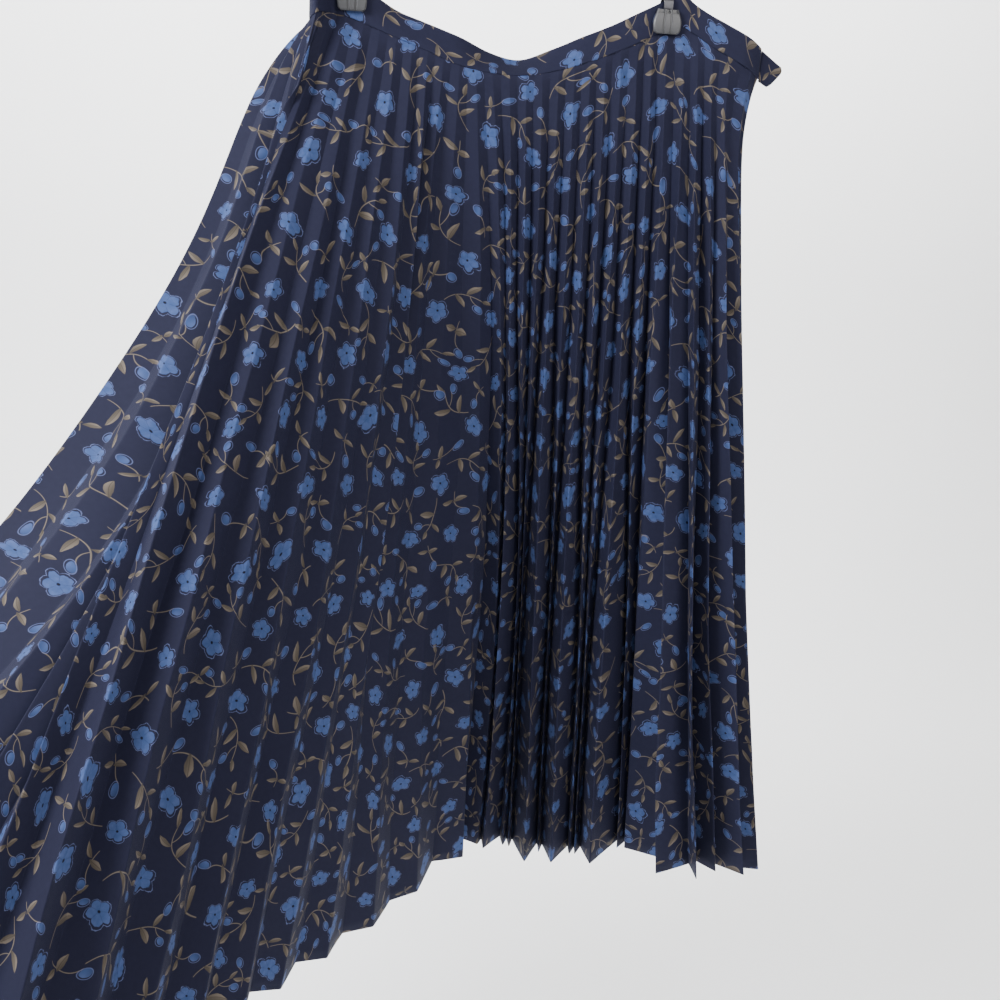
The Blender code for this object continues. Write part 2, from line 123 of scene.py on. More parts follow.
# Pleat, hem x, y, z, bow x, y, z of the line down to it, flare in x just under the waist.
HEM = (
    (0, -0.684, -0.307, -0.707, 0.033, 0.050, -0.040, -0.019),
    (0.6, -0.660, -0.350, -0.696, 0.039, 0.052, -0.046, -0.018),
    (1.25, -0.620, -0.400, -0.690, 0.048, 0.055, -0.055, -0.014),
    (2.25, -0.550, -0.460, -0.680, 0.057, 0.060, -0.065, -0.008),
    (3.4, -0.485, -0.485, -0.715, 0.028, 0.056, -0.045, 0.000),
    (4.6, -0.419, -0.497, -0.754, -0.009, 0.034, -0.012, 0.000),
    (6.6, -0.339, -0.422, -0.816, 0.000, 0.006, 0.000, 0.000),
    (8.6, -0.268, -0.324, -0.879, 0.006, 0.000, 0.000, 0.000),
    (10.6, -0.200, -0.205, -0.925, 0.016, 0.000, 0.000, 0.000),
    (12.6, -0.100, -0.063, -0.963, -0.010, 0.000, 0.000, 0.000),
    (14.6, 0.000, 0.060, -0.964, 0.018, 0.000, 0.000, 0.000),
    (16.7, 0.035, 0.055, -0.965, 0.010, 0.000, 0.000, 0.000),
    (18.8, 0.070, 0.035, -0.960, 0.000, 0.000, 0.000, 0.000),
    (21, 0.102, 0.014, -0.951, 0.000, 0.000, 0.000, 0.000),
    (23, 0.132, -0.007, -0.939, 0.000, 0.000, 0.000, 0.000),
    (26, 0.185, -0.047, -0.917, 0.000, 0.000, 0.000, 0.000),
    (28, 0.253, -0.080, -0.912, -0.004, 0.000, 0.000, 0.000),
    (30, 0.312, -0.060, -0.927, -0.008, 0.000, 0.000, -0.004),
    (31, 0.338, -0.040, -0.940, -0.012, 0.000, 0.000, -0.010),
    (32, 0.353, -0.006, -0.946, -0.016, 0.000, 0.000, -0.011),
    (33, 0.350, 0.028, -0.946, -0.016, 0.000, 0.000, -0.011),
    (34, 0.334, 0.052, -0.948, -0.012, 0.004, 0.000, -0.008),
    (36, 0.300, 0.070, -0.950, -0.004, 0.008, 0.000, -0.002),
    (38, 0.262, 0.080, -0.952, 0.000, 0.010, 0.000, 0.000),
    (42, 0.190, 0.096, -0.956, 0.000, 0.012, 0.000, 0.000),
    (46, 0.118, 0.112, -0.960, 0.000, 0.014, 0.000, 0.000),
    (50, 0.046, 0.126, -0.963, 0.000, 0.014, 0.000, 0.000),
    (53, -0.014, 0.130, -0.962, 0.000, 0.014, 0.000, 0.000),
    (55, -0.170, 0.106, -0.950, 0.020, 0.012, 0.000, 0.000),
    (57, -0.325, 0.058, -0.922, 0.030, 0.010, 0.000, 0.000),
    (59, -0.475, -0.008, -0.872, 0.038, 0.010, 0.000, 0.000),
    (61, -0.596, -0.098, -0.800, 0.040, 0.020, -0.010, -0.004),
    (63, -0.672, -0.240, -0.728, 0.036, 0.042, -0.030, -0.014),
    (64, -0.684, -0.307, -0.707, 0.033, 0.050, -0.040, -0.019),
)
# Folds deeper than a pleat: pleat, half width in pleats, depth inwards, where it starts, where it is deepest.
FOLDS = (
    (25.6, 0.80, 0.020, 0.06, 0.70),
    (29.2, 0.70, 0.018, 0.10, 0.80),
    (37.4, 0.70, 0.016, 0.15, 0.90),
    (41.8, 0.60, 0.012, 0.35, 1.00),
    (45.3, 0.80, 0.017, 0.20, 0.85),
    (49.7, 0.60, 0.012, 0.40, 1.00),
    (56.2, 0.70, 0.012, 0.25, 0.80),
)
# Pleats drawn together behind their neighbours: middle, pleats on each side, how far back, start, full.
GATHERS = (
    (17.75, 1.05, 0.024, 0.18, 0.70),
    (20.25, 0.55, 0.022, 0.18, 0.70),
    (22.75, 1.05, 0.024, 0.25, 0.75),
    (25.50, 0.80, 0.024, 0.30, 0.80),
)
# Ridges that lean sideways: pleat, half width, sideways part, where it starts, where it is most.
LEANING = (
    (20.0, 5.5, 0.40, 0.35, 1.10),
    (27.2, 1.0, -0.45, 0.05, 0.45),
)
# Pleats pressed flatter at a corner: pleat, half width, part of the height lost at the waist and lower down.
PRESSED = (
    (2.90, 1.10, 0.55, 0.35),
    (4.25, 0.80, 0.35, 0.35),
    (15.75, 0.85, 0.00, 0.62),
    (51.10, 0.90, 0.00, 0.40),
    (61.00, 1.40, 0.55, 0.10),
)
# Soft creases: pleat, half width in pleats, place down the cloth, half length, depth, pleats that
# the crease drifts sideways over its length.
CREASES = (
    (1.2, 0.9, 0.16, 0.10, 0.0030, 0.8),
    (2.6, 0.7, 0.34, 0.14, -0.0036, -0.5),
    (3.6, 0.8, 0.10, 0.07, 0.0032, 1.2),
    (5.3, 0.6, 0.07, 0.05, -0.0018, 1.4),
    (6.6, 0.5, 0.05, 0.04, 0.0016, -1.6),
    (7.4, 0.6, 0.09, 0.05, -0.0014, -1.2),
    (8.9, 1.1, 0.52, 0.20, 0.0034, 0.4),
    (11.4, 1.2, 0.70, 0.18, -0.0040, -0.6),
    (13.2, 0.9, 0.40, 0.17, 0.0030, 0.5),
    (15.6, 1.0, 0.86, 0.13, -0.0032, 0.3),
    (18.1, 0.8, 0.62, 0.22, 0.0026, -0.4),
    (20.3, 0.9, 0.33, 0.15, -0.0024, 0.6),
    (22.4, 0.7, 0.78, 0.16, 0.0034, -0.3),
    (24.2, 0.6, 0.06, 0.05, 0.0018, 1.8),
    (25.3, 0.5, 0.05, 0.04, -0.0018, 1.2),
    (27.1, 0.6, 0.06, 0.05, 0.0018, -1.6),
    (28.3, 0.7, 0.12, 0.08, -0.0022, -1.1),
    (29.0, 0.5, 0.24, 0.16, -0.0060, 0.3),
    (29.6, 0.9, 0.47, 0.20, 0.0034, 0.5),
    (31.0, 0.8, 0.74, 0.18, -0.0032, -0.4),
    (33.6, 0.9, 0.22, 0.12, 0.0028, 0.7),
    (36.4, 0.8, 0.08, 0.06, -0.0018, 1.5),
    (38.1, 0.6, 0.06, 0.05, 0.0018, -1.4),
    (40.2, 1.0, 0.58, 0.21, -0.0030, 0.4),
    (43.7, 0.9, 0.81, 0.15, 0.0032, -0.5),
    (46.5, 1.1, 0.36, 0.16, -0.0028, 0.5),
    (49.9, 0.9, 0.66, 0.20, 0.0030, 0.3),
    (53.2, 1.1, 0.45, 0.19, -0.0034, -0.6),
    (56.4, 0.6, 0.07, 0.05, 0.0018, 1.4),
    (57.8, 1.2, 0.76, 0.17, 0.0040, 0.5),
    (60.3, 1.0, 0.28, 0.13, -0.0032, -0.7),
    (62.2, 1.0, 0.55, 0.19, 0.0036, 0.5),
)
# One pleat face, from a fold (0) to the next (1): where its columns stand, and how far each is drawn to the
# middle of its two neighbours, which rounds the pressed edge.
FACE_PLACES = (0.0, 0.03, 0.10, 0.34, 0.66, 0.90, 0.97)
EDGE_ROUND = 0.35

CAMERA_PLACE = (-0.1431, -1.1253, -0.1351 - DROP)
CAMERA_YAW = 8.0            # degrees to the right of straight ahead
CAMERA_PITCH = 17.0         # degrees down
CAMERA_ROLL = -3.177
FLOOR_NEAR = -5.0           # the floor runs from here back to the bend, and up behind
FLOOR_HALF = 6.0
BEND_START = 1.2
BEND_RADIUS = 1.0
BEND_STEPS = 11
BACKDROP_HEIGHT = 5.0
# Soft lights: name, place, target, size, part of the key light's power, colour.
LIGHTS = (
    ("window_light", (-1.75, -1.15, 0.55), (-0.3, -0.1, -0.55), (0.8, 0.9), 1.0, (0.94, 0.96, 1.0)),
    ("front_fill", (1.2, -2.2, 0.9), (0.15, 0.0, -0.4), (1.4, 1.4), 0.72, (1.0, 0.98, 0.96)),
    ("side_light", (-2.1, 0.35, 0.25), (-0.45, -0.25, -0.5), (1.0, 1.2), 0.55, (0.94, 0.96, 1.0)),
    ("backdrop_light", (0.0, 1.0, 0.9), (0.0, 2.2, -0.2), (4.0, 0.8), 1.7, (1.0, 1.0, 1.0)),
)


# --- shape -------------------------------------------------------------------------------------------------


def smooth_step(value):
    t = np.clip(value, 0.0, 1.0)
    return t * t * (3.0 - 2.0 * t)


def curve_through(keys, values, at):
    """Smooth curve through the rows of a table, with three-point slopes, read at each place of at."""
    steps = np.diff(keys)
    rise = np.diff(values, axis=0) / steps[:, None]
    slope = np.zeros_like(values)
    slope[0] = rise[0]
    slope[-1] = rise[-1]
    before = steps[:-1, None]
    after = steps[1:, None]
    slope[1:-1] = (rise[:-1] * after + rise[1:] * before) / (before + after)
    place = np.clip(np.searchsorted(keys, at, side="right") - 1, 0, len(steps) - 1)
    span = steps[place]
    t = ((at - keys[place]) / span)[:, None]
    span = span[:, None]
    start = values[place]
    end = values[place + 1]
    return (
        (2 * t**3 - 3 * t**2 + 1) * start
        + (t**3 - 2 * t**2 + t) * span * slope[place]
        + (3 * t**2 - 2 * t**3) * end
        + (t**3 - t**2) * span * slope[place + 1]
    )


def all_round(rows):
    """The table with its last rows repeated before it and its first ones after, one turn away."""
    lead = rows[-4:-1].copy()
    lead[:, 0] -= PLEATS
    tail = rows[1:4].copy()
    tail[:, 0] += PLEATS
    return np.vstack([lead, rows, tail])


def ring_table():
    front = [list(row) for row in WAIST]
    back = [[PLEATS - row[0], row[1], -row[2], row[3], row[4]] for row in WAIST[-2::-1]]
    return all_round(np.array(front + back))


RING = ring_table()
GUIDES = all_round(np.array(HEM))


def waist_at(pleat):
    return curve_through(RING[:, 0], RING[:, 1:4], pleat)


def lean_at(pleat):
    turn = curve_through(RING[:, 0], RING[:, 4:5], pleat)[:, 0]
    return np.radians(np.maximum(turn, 0.0))


def carrier(pleat, down):
    """Middle of the pleating, before its ridges, at pleat numbers and parts of the length."""
    guide = curve_through(GUIDES[:, 0], GUIDES[:, 1:], pleat)
    top = waist_at(pleat)
    part = down[:, None]
    line = top + (guide[:, :3] - top) * part + guide[:, 3:6] * (4.0 * part * (1.0 - part))
    line[:, 0] += guide[:, 6] * down / FLARE_REACH * np.exp(1.0 - down / FLARE_REACH)
    return line


def outward(pleat, down):
    """Unit vector out of the cloth and the pitch of the pleats there."""
    across = (carrier(pleat + SPREAD, down) - carrier(pleat - SPREAD, down)) / (2 * SPREAD)
    fall = carrier(pleat, np.minimum(down + 0.02, 1.0)) - carrier(pleat, np.maximum(down - 0.02, 0.0))
    out = np.cross(fall, across)
    out[:, 2] *= smooth_step(down / 0.08)
    out /= np.linalg.norm(out, axis=1)[:, None]
    pitch = np.linalg.norm(across, axis=1)
    lean = np.zeros_like(pitch)
    for centre, half, sideways, start, full in LEANING:
        lean += sideways * np.exp(-(((pleat - centre) / half) ** 4)) * smooth_step((down - start) / (full - start))
    out += across * (lean / pitch)[:, None]
    out /= np.linalg.norm(out, axis=1)[:, None]
    return out, pitch


def fold_depth(pleat, down):
    depth = np.zeros_like(pleat)
    for centre, half, deep, start, full in FOLDS:
        grown = smooth_step((down - start) / (full - start))
        depth += deep * grown * np.exp(-(((pleat - centre) / half) ** 2))
    return depth


def pressing(pleat, down):
    kept = np.ones_like(pleat)
    low = smooth_step(down / 0.3)
    for centre, half, top_lost, low_lost in PRESSED:
        near = np.exp(-(((pleat - centre) / half) ** 2))
        kept -= (top_lost * (1.0 - low) + low_lost * low) * near
    return kept


def unevenness(pleat, down):
    wave = 0.07 * np.sin(2.3 * pleat + 0.8) + 0.05 * np.sin(5.1 * pleat + 3.0 * down)
    return 1.0 + wave * smooth_step(down / 0.3)


def gathered(pleat, down):
    """Pleat numbers drawn towards the middle of each gather, and how far back their ridges are drawn."""
    spot = pleat.copy()
    back = np.zeros_like(pleat)
    for centre, reach, deep, start, full in GATHERS:
        grown = smooth_step((down - start) / (full - start))
        near = smooth_step((reach + GATHER_EDGE - abs(pleat - centre)) / GATHER_EDGE)
        spot += (centre - pleat) * GATHER_PULL * grown * near
        back += deep * grown * near
    return spot, back


def creases(pleat, down):
    """Soft troughs and ridges, out of the cloth."""
    lift = np.zeros_like(pleat)
    for centre, half, place, length, depth, drift in CREASES:
        along = (down - place) / length
        across = (pleat - centre - drift * along) / half
        lift += depth * np.exp(-(along**2) - across**2)
    return lift


def fold_line(pleat, side, down):
    """Points of one pressed edge: side is 1 on a ridge, -1 in a valley and 0 between, for one pleat number."""
    spot, back = gathered(np.full(len(down), pleat), down)
    wander = 0.030 * np.sin(1.7 * pleat + 9.0 * down) + 0.018 * np.sin(4.3 * pleat - 21.0 * down)
    spot = spot + wander * smooth_step(down / 0.2) * abs(side)
    knife = KNIFE * (1.0 - math.exp(-(((pleat - STRAIGHT_MIDDLE) / STRAIGHT_HALF) ** 4)))
    spot = spot - side * knife * smooth_step((down - 0.05) / 0.35)
    base = carrier(spot, down)
    out, pitch = outward(spot, down)
    face = PANEL_TOP + (PANEL_HEM - PANEL_TOP) * down
    height = np.sqrt(np.maximum(face**2 - (pitch / 2) ** 2, (SHALLOW * face) ** 2))
    most = np.minimum(DEEPEST, face * (SHALLOW + 0.55 * smooth_step(down / 0.15)))
    height = np.minimum(height, most) * unevenness(spot, down) * pressing(spot, down)
    height *= 0.30 + 0.70 * smooth_step(down / 0.02)
    move = side * height / 2 - fold_depth(spot, down) - back * (0.7 + 0.3 * side)
    move += creases(spot, down) * smooth_step(down / 0.03)
    line = base + out * (move - CLOTH_INSET)[:, None]
    lean = lean_at(spot[:1])[0]
    upward = np.array((0.0, math.sin(lean), math.cos(lean)))
    tucked = waist_at(spot[:1])[0] + TUCK * upward - TUCK_INSET * out[0]
    return np.vstack([tucked, line])


def face_belly(number, down):
    """How far a pleat face bellies out of flat, in metres, by its number and along its length."""
    wave = np.sin(1.9 * number + 5.0 * down) + 0.6 * np.sin(0.7 * number - 11.0 * down)
    return BELLY * wave * smooth_step(down / 0.15)


def cloth_rows(first, rings):
    """Points and flat-cut places of half of the pleated cloth, (rings, columns, 3) and (rings, columns, 2)."""
    down = np.linspace(0.0, 1.0, rings) ** RING_CROWDING
    radius = CUT_RADIUS + CUT_LENGTH * np.concatenate([[-TUCK / CUT_LENGTH], down])
    edges = [float(first)]
    sides = [0.0]
    for number in range(HALF):
        edges += [first + number + 0.25, first + number + 0.75]
        sides += [1.0, -1.0]
    edges.append(float(first + HALF))
    sides.append(0.0)
    lines = [fold_line(edge, side, down) for edge, side in zip(edges, sides)]
    for end, inner in ((0, 1), (-1, -2)):
        inward = lines[inner] - lines[end]
        lines[end] = lines[end] + inward / np.linalg.norm(inward, axis=1)[:, None] * SIDE_SEAM
    columns = []
    places = []
    for number in range(len(lines) - 1):
        start = lines[number]
        end = lines[number + 1]
        across = end - start
        fall = np.gradient(start, axis=0)
        normal = np.cross(fall, across)
        normal /= np.linalg.norm(normal, axis=1)[:, None]
        belly = face_belly(first * 2 + number, np.concatenate([[0.0], down]))
        for part in FACE_PLACES:
            rise = (4.0 * part * (1.0 - part) * belly)[:, None]
            columns.append(start + across * part + normal * rise)
            places.append(edges[number] + (edges[number + 1] - edges[number]) * part)
    columns.append(lines[-1])
    places.append(edges[-1])
    points = np.stack(columns, axis=1)
    step = len(FACE_PLACES)
    for column in range(step, points.shape[1] - 1, step):
        middle = (points[:, column - 1] + points[:, column + 1]) / 2
        points[:, column] += (middle - points[:, column]) * EDGE_ROUND
    points[:, :, 2] -= DROP
    angle = ((np.array(places) - first) / HALF - 0.5) * CUT_ANGLE
    cut = np.stack([np.outer(radius, np.sin(angle)), -np.outer(radius, np.cos(angle))], axis=2)
    return points, cut


def band_rows(first, rows):
    """Points and flat places of half of the waistband, from its top edge down."""
    pleats = np.linspace(first + BAND_END, first + HALF - BAND_END, 6 * HALF + 1)
    base = waist_at(pleats)
    run = np.concatenate([[0.0], np.cumsum(np.linalg.norm(np.diff(base, axis=0), axis=1))])
    lean = lean_at(pleats)
    lift = np.stack([np.zeros_like(lean), np.sin(lean), np.cos(lean)], axis=1)
    start = (SEAM_GAP + BAND_WALL / 2 * np.sin(lean)) / np.cos(lean)
    out = np.cross(np.gradient(base, axis=0), lift)
    out /= np.linalg.norm(out, axis=1)[:, None]
    points = []
    cut = []
    for up in np.linspace(1.0, 0.0, rows):
        pucker = 0.00035 * np.sin(run * 210.0 + 2.0 * up) * (1.0 - up) ** 2
        pucker += 0.0005 * np.sin(run * 47.0 + 1.3) * up * (1.0 - up)
        points.append(base + lift * (start + up * BAND_HEIGHT)[:, None] + out * pucker[:, None])
        cut.append(np.stack([run, np.full_like(run, up * BAND_HEIGHT)], axis=1))
    points = np.array(points)
    points[:, :, 2] -= DROP
    return points, np.array(cut)


def sheet_mesh(name, points, cut, wall, cut_offset):
    """A smooth sheet from rows of points, with its flat cut as UVs in metres and a live wall."""
    rows, columns = points.shape[:2]
    faces = []
    for row in range(rows - 1):
        low = row * columns
        for column in range(columns - 1):
            first = low + column
            faces.append((first, first + columns, first + columns + 1, first + 1))
    mesh = bpy.data.meshes.new(name)
    mesh.from_pydata(points.reshape(-1, 3).tolist(), [], faces)
    mesh.update()
    layer = mesh.uv_layers.new(name="flat_cut")
    corner = np.empty(len(mesh.loops), np.int32)
    mesh.loops.foreach_get("vertex_index", corner)
    flat = cut.reshape(-1, 2) + np.array(cut_offset)
    layer.data.foreach_set("uv", flat[corner].astype(np.float32).ravel())
    mesh.shade_smooth()
    made = bpy.data.objects.new(name, mesh)
    bpy.context.scene.collection.objects.link(made)
    thick = made.modifiers.new("wall", "SOLIDIFY")
    thick.thickness = wall
    thick.offset = 0.0
    thick.use_even_offset = False
    return made


# --- finishes ----------------------------------------------------------------------------------------------


class Drawing:
    """Short names for building a material's nodes."""

    def __init__(self, name):
        self.material = bpy.data.materials.get(name) or bpy.data.materials.new(name)
        self.material.use_nodes = True
        self.tree = self.material.node_tree
        self.tree.nodes.clear()
        self.shader = self.tree.nodes.new("ShaderNodeBsdfPrincipled")
        output = self.tree.nodes.new("ShaderNodeOutputMaterial")
        self.tree.links.new(self.shader.outputs["BSDF"], output.inputs["Surface"])

    def put(self, socket, value):
        if isinstance(value, bpy.types.NodeSocket):
            self.tree.links.new(value, socket)
        elif isinstance(value, (int, float)) or not hasattr(socket.default_value, "__len__"):
            socket.default_value = value
        else:
            size = len(socket.default_value)
            socket.default_value = (tuple(value) + (1.0,) * size)[:size]

    def math(self, operation, first, second=0.0, third=0.0, clamp=False):
        node = self.tree.nodes.new("ShaderNodeMath")
        node.operation = operation
        node.use_clamp = clamp
        for socket, value in zip(node.inputs, (first, second, third)):
            self.put(socket, value)
        return node.outputs[0]

    def vector(self, operation, first, second=(0.0, 0.0, 0.0), third=(0.0, 0.0, 0.0)):
        node = self.tree.nodes.new("ShaderNodeVectorMath")
        node.operation = operation
        for socket, value in zip(node.inputs, (first, second, third)):
            self.put(socket, value)
        return node.outputs["Value" if operation in ("LENGTH", "DOT_PRODUCT", "DISTANCE") else "Vector"]

    def turn(self, vector, angle, centre=(0.0, 0.0, 0.0)):
        node = self.tree.nodes.new("ShaderNodeVectorRotate")
        node.rotation_type = "Z_AXIS"
        self.put(node.inputs["Vector"], vector)
        self.put(node.inputs["Center"], centre)
        self.put(node.inputs["Angle"], angle)
        return node.outputs[0]

    def split(self, vector):
        node = self.tree.nodes.new("ShaderNodeSeparateXYZ")
        self.put(node.inputs[0], vector)
        return node.outputs[0], node.outputs[1]

    def mix(self, factor, first, second):
        node = self.tree.nodes.new("ShaderNodeMix")
        node.data_type = "RGBA"
        self.put(node.inputs["Factor"], factor)
        self.put(node.inputs[6], first)
        self.put(node.inputs[7], second)
        return node.outputs[2]

    def noise(self, vector, scale, detail, output="Fac"):
        node = self.tree.nodes.new("ShaderNodeTexNoise")
        self.put(node.inputs["Vector"], vector)
        self.put(node.inputs["Scale"], scale)
        self.put(node.inputs["Detail"], detail)
        return node.outputs[output]

    def inside(self, distance, soft=0.35):
        """1 where a distance in millimetres is below 0, with a soft edge."""
        return self.math("MULTIPLY_ADD", distance, -1.0 / soft, 0.5, clamp=True)

    def both(self, first, second):
        return self.math("MULTIPLY", first, second)

    def bump(self, height, strength, distance):
        node = self.tree.nodes.new("ShaderNodeBump")
        self.put(node.inputs["Height"], height)
        self.put(node.inputs["Strength"], strength)
        self.put(node.inputs["Distance"], distance)
        self.tree.links.new(node.outputs[0], self.shader.inputs["Normal"])


def lattice(draw, place, cell, offset, jitter, seed):
    """Place within its own turned cell of a staggered lattice, in millimetres."""
    scaled = draw.vector("MULTIPLY_ADD", place, (1.0 / cell, 1.0 / cell, 0.0), (*offset, 0.0))
    across, up = draw.split(scaled)
    row = draw.math("FLOOR", up)
    shifted = draw.math("MULTIPLY_ADD", row, 0.5, across)
    column = draw.math("FLOOR", shifted)
    index = draw.tree.nodes.new("ShaderNodeCombineXYZ")
    draw.put(index.inputs[0], column)
    draw.put(index.inputs[1], row)
    index.inputs[2].default_value = seed
    told = draw.tree.nodes.new("ShaderNodeTexWhiteNoise")
    told.noise_dimensions = "3D"
    draw.put(told.inputs["Vector"], index.outputs[0])
    local = draw.tree.nodes.new("ShaderNodeCombineXYZ")
    draw.put(local.inputs[0], draw.math("SUBTRACT", draw.math("SUBTRACT", shifted, column), 0.5))
    draw.put(local.inputs[1], draw.math("SUBTRACT", draw.math("SUBTRACT", up, row), 0.5))
    moved = draw.vector("SUBTRACT", told.outputs["Color"], (0.5, 0.5, 0.5))
    spread = draw.vector("MULTIPLY", moved, (jitter, jitter, 0.0))
    centred = draw.vector("MULTIPLY_ADD", local.outputs[0], (cell, cell, 0.0), spread)
    angle = draw.math("MULTIPLY", told.outputs["Value"], 2 * math.pi)
    return draw.turn(centred, angle)


def petals(draw, place, reach, count, notch, wobble):
    """Distance outside a flower of rounded petals, the distance from its middle, and a wave round its petals."""
    across, up = draw.split(place)
    far = draw.vector("LENGTH", place)
    angle = draw.math("ARCTAN2", up, across)
    wave = draw.math("ABSOLUTE", draw.math("COSINE", draw.math("MULTIPLY", angle, count / 2)))
    edge = draw.math("MULTIPLY_ADD", wave, reach * notch, reach * (1.0 - notch))
    edge = draw.math("MULTIPLY_ADD", wobble, reach * 0.34, edge)
    return draw.math("SUBTRACT", far, edge), far, wave


def draw_stem(draw, colour, place, row, inks):
    """A thin curved stem with a paler middle."""
    x, y, angle, half, curve, thick = row
    moved = draw.vector("SUBTRACT", place, (x, y, 0.0))
    along, across = draw.split(draw.turn(moved, -math.radians(angle)))
    bent = draw.math("MULTIPLY_ADD", draw.math("MULTIPLY", along, along), -curve, across)
    beside = draw.math("SUBTRACT", draw.math("ABSOLUTE", bent), thick)
    beyond = draw.math("SUBTRACT", draw.math("ABSOLUTE", along), half)
    inside = draw.both(draw.inside(beside, 0.4), draw.inside(beyond, 0.8))
    tone = draw.mix(draw.inside(bent, 0.9), inks["stem"], inks["stem_light"])
    return draw.mix(inside, colour, tone)


def draw_leaf(draw, colour, place, row, inks, wobble):
    """A pointed leaf, pale on one side of its rib and brown on the other, darker towards the stem."""
    x, y, angle, half, width = row
    moved = draw.vector("SUBTRACT", place, (x, y, 0.0))
    along, across = draw.split(draw.turn(moved, -math.radians(angle)))
    part = draw.math("MULTIPLY", along, 1.0 / half)
    square = draw.math("MULTIPLY", part, part)
    bend = draw.math("MULTIPLY_ADD", square, width * 0.40, across)
    edge = draw.math("MULTIPLY_ADD", square, -width, draw.math("MULTIPLY_ADD", part, width * -0.25, width))
    distance = draw.math("MULTIPLY_ADD", wobble, 1.2, draw.math("SUBTRACT", draw.math("ABSOLUTE", bend), edge))
    tone = draw.mix(draw.inside(bend, width * 1.1), inks["leaf"], inks["leaf_shade"])
    tone = draw.mix(draw.math("MULTIPLY_ADD", part, -0.42, 0.30, clamp=True), tone, inks["leaf_dark"])
    rib = draw.inside(draw.math("SUBTRACT", draw.math("ABSOLUTE", bend), 0.22), 0.45)
    tone = draw.mix(draw.math("MULTIPLY", rib, 0.75), tone, inks["leaf_dark"])
    return draw.mix(draw.inside(distance), colour, tone)


def draw_bud(draw, colour, place, row, inks, wobble):
    """An oval bud with a loose pale line round one side."""
    x, y, angle, long_half, short_half = row
    moved = draw.turn(draw.vector("SUBTRACT", place, (x, y, 0.0)), -math.radians(angle))
    ratio = long_half / short_half
    far = draw.vector("LENGTH", draw.vector("MULTIPLY", moved, (1.0, ratio, 0.0)))
    inner = draw.math("MULTIPLY_ADD", wobble, 2.0, draw.math("SUBTRACT", far, long_half))
    along, across = draw.split(moved)
    tone = draw.mix(draw.inside(across, short_half * 1.6), inks["petal"], inks["petal_light"])
    tone = draw.mix(draw.math("MULTIPLY_ADD", along, 0.5 / long_half, 0.15, clamp=True), tone, inks["petal_dark"])
    colour = draw.mix(draw.inside(inner, 0.6), colour, tone)
    shifted = draw.vector("ADD", moved, (0.4, 0.6, 0.0))
    beside = draw.vector("LENGTH", draw.vector("MULTIPLY", shifted, (1.0, ratio, 0.0)))
    off_line = draw.math("ABSOLUTE", draw.math("SUBTRACT", beside, long_half + 1.0))
    line = draw.inside(draw.math("SUBTRACT", off_line, 0.34), 0.5)
    return draw.mix(draw.math("MULTIPLY", line, 0.8), colour, inks["outline"])


def draw_flower(draw, colour, place, inks, wobble, streaks):
    """A flower of washed petals with a loose pale line just outside them and a dark eye."""
    distance, far, wave = petals(draw, place, FLOWER_REACH, FLOWER_PETALS, FLOWER_NOTCH, wobble)
    washed = draw.math("MULTIPLY_ADD", streaks, 2.4, draw.math("MULTIPLY_ADD", far, 0.03, -0.95), clamp=True)
    petal = draw.mix(washed, inks["petal"], inks["petal_light"])
    cleft = draw.both(draw.inside(draw.math("SUBTRACT", wave, 0.13), 0.25), draw.inside(distance, 5.0))
    petal = draw.mix(draw.math("MULTIPLY", cleft, 0.5), petal, inks["petal_dark"])
    colour = draw.mix(draw.inside(distance, 0.6), colour, petal)
    moved = draw.vector("ADD", place, (0.5, -0.4, 0.0))
    loose, _, _ = petals(draw, moved, FLOWER_REACH + 1.6, FLOWER_PETALS, FLOWER_NOTCH * 0.92, wobble)
    line = draw.inside(draw.math("SUBTRACT", draw.math("ABSOLUTE", loose), 0.26), 0.45)
    broken = draw.math("MULTIPLY_ADD", streaks, 4.0, -1.1, clamp=True)
    colour = draw.mix(draw.both(line, broken), colour, inks["outline"])
    eye = draw.inside(draw.math("SUBTRACT", far, 1.15), 0.6)
    return draw.mix(eye, colour, inks["eye"])


# The two leafy sprigs, in millimetres about the middle of their gap between the flowers.
# Stems: middle x, y, angle, half length, curve, half width. Leaves: middle x, y, angle, half length, half width.
# Buds: middle x, y, angle, half length, half width.
LONG_SPRIG = {
    "stems": ((-1.0, -3.0, 96.0, 20.0, -0.018, 0.42), (5.0, 6.0, 42.0, 6.5, 0.040, 0.36)),
    "leaves": ((7.5, -4.5, 38.0, 9.0, 2.9), (-9.0, 4.5, 140.0, 8.2, 2.6), (2.5, 21.0, 80.0, 6.8, 2.1)),
    "buds": ((12.5, 12.5, 52.0, 4.3, 3.0),),
}
SHORT_SPRIG = {
    "stems": ((0.5, -4.0, 62.0, 11.5, 0.030, 0.40),),
    "leaves": ((-6.5, -3.5, 130.0, 7.4, 2.3), (2.5, -15.5, -58.0, 6.6, 2.2)),
    "buds": ((6.5, 9.0, 66.0, 4.7, 3.3),),
}


def draw_sprig(draw, colour, place, sprig, inks, wobble):
    """A sprig's stems, then its leaves and buds over them."""
    for row in sprig["stems"]:
        colour = draw_stem(draw, colour, place, row, inks)
    for row in sprig["leaves"]:
        colour = draw_leaf(draw, colour, place, row, inks, wobble)
    for row in sprig["buds"]:
        colour = draw_bud(draw, colour, place, row, inks, wobble)
    return colour


def shaded(colour, part):
    return tuple(min(1.0, channel * part) for channel in colour)


